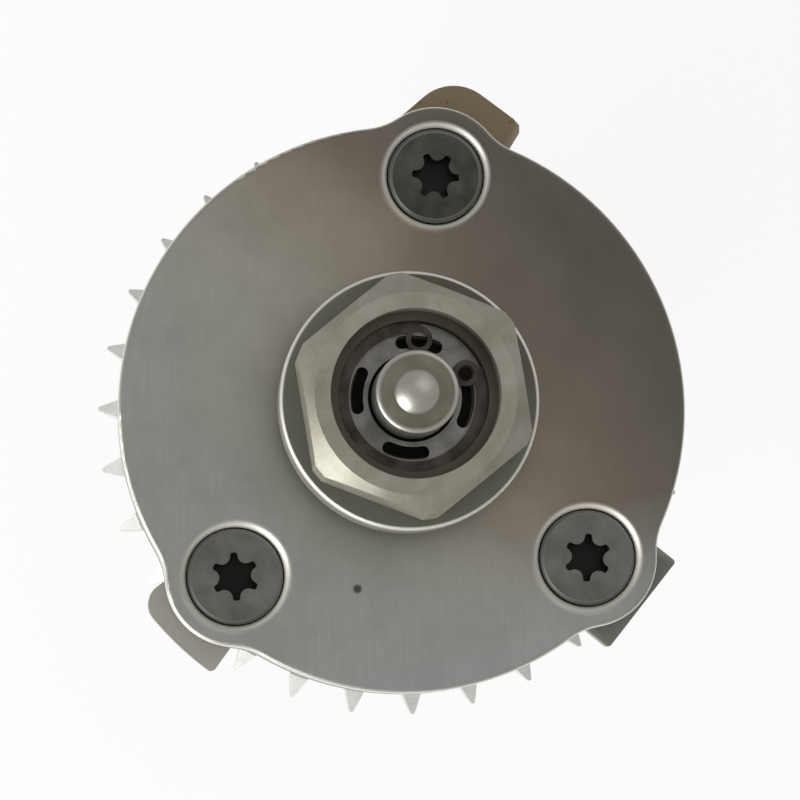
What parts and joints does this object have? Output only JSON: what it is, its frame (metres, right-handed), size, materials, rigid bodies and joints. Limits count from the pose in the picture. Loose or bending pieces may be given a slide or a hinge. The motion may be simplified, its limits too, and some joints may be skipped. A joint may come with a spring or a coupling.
{
  "type": "camshaft gear",
  "caption": "Chain-driven camshaft gear with a vane-type variable timing drive inside, bolted covers, and a hex-headed oil control valve bolt through its centre.",
  "frame": {"origin": "on the camshaft's axis, at the rear hub face that the camshaft's end is clamped against", "axes": "+Z along the camshaft's axis out of the engine, towards the hex head; +Y towards the upper lug in the picture; +X to the picture's right"},
  "size_m": [0.0826, 0.0866, 0.0933],
  "materials": {
    "cover_steel": "ground, fine crossed scratches",
    "screw_steel": "phosphated, oiled",
    "sintered_steel": "sintered, fine grain",
    "rotor_steel": "sintered, faces ground",
    "plate_steel": "ground",
    "hard_steel": "hardened and ground",
    "oiled_steel": "stamped, oiled",
    "spring_steel": "drawn wire or strip",
    "zinc_steel": "zinc plated, satin",
    "spool_aluminium": "turned, hard anodised",
    "ball_steel": "polished bearing steel",
    "mesh_steel": "woven stainless mesh",
    "seal_plastic": "moulded, wear resistant"
  },
  "bodies": {
    "camshaft_side": {"rotor": "rotor_steel", "valve_bolt": "zinc_steel", "vane_seal_1": "seal_plastic", "vane_seal_2": "seal_plastic", "vane_seal_3": "seal_plastic", "vane_seal_spring_1": "spring_steel", "vane_seal_spring_2": "spring_steel", "vane_seal_spring_3": "spring_steel", "lock_pin_cap": "plate_steel", "lock_pin_spring": "spring_steel", "stop_disc": "oiled_steel", "retaining_ring": "spring_steel", "spool_spring": "spring_steel", "spring_carrier": "oiled_steel", "check_ball_spring": "spring_steel", "check_seat": "hard_steel", "filter_screen": "mesh_steel"},
    "drive_side": {"drive_body": "sintered_steel", "front_cover": "cover_steel", "cover_screw_1": "screw_steel", "cover_screw_2": "screw_steel", "cover_screw_3": "screw_steel", "rear_plate": "plate_steel", "lock_bush": "hard_steel", "web_seal_1": "seal_plastic", "web_seal_2": "seal_plastic", "web_seal_3": "seal_plastic", "web_seal_spring_1": "spring_steel", "web_seal_spring_2": "spring_steel", "web_seal_spring_3": "spring_steel"},
    "spool": {"spool": "spool_aluminium", "spool_nose": "hard_steel"},
    "lock_pin": {"lock_pin": "hard_steel"},
    "check_ball": {"check_ball": "ball_steel"}
  },
  "joints": [
    {"name": "phase", "type": "hinge", "parent": "camshaft_side", "child": "drive_side", "pos_m": [0, 0, 0.014], "axis": [0, 0, 1], "range_deg": [0, 30]},
    {"name": "spool_slide", "type": "slide", "parent": "camshaft_side", "child": "spool", "axis": [0, 0, 1], "range_m": [-0.0035, 0], "stiffness_N_per_m": 1500, "springref_m": 0.003, "deforming": ["spool_spring"]},
    {"name": "lock_pin_slide", "type": "slide", "parent": "camshaft_side", "child": "lock_pin", "axis": [0, 0, 1], "range_m": [0, 0.0012], "stiffness_N_per_m": 1000, "springref_m": -0.003, "deforming": ["lock_pin_spring"]},
    {"name": "check_ball_slide", "type": "slide", "parent": "camshaft_side", "child": "check_ball", "axis": [0, 0, 1], "range_m": [0, 0.001], "stiffness_N_per_m": 100, "springref_m": -0.002, "deforming": ["check_ball_spring"]}
  ]
}
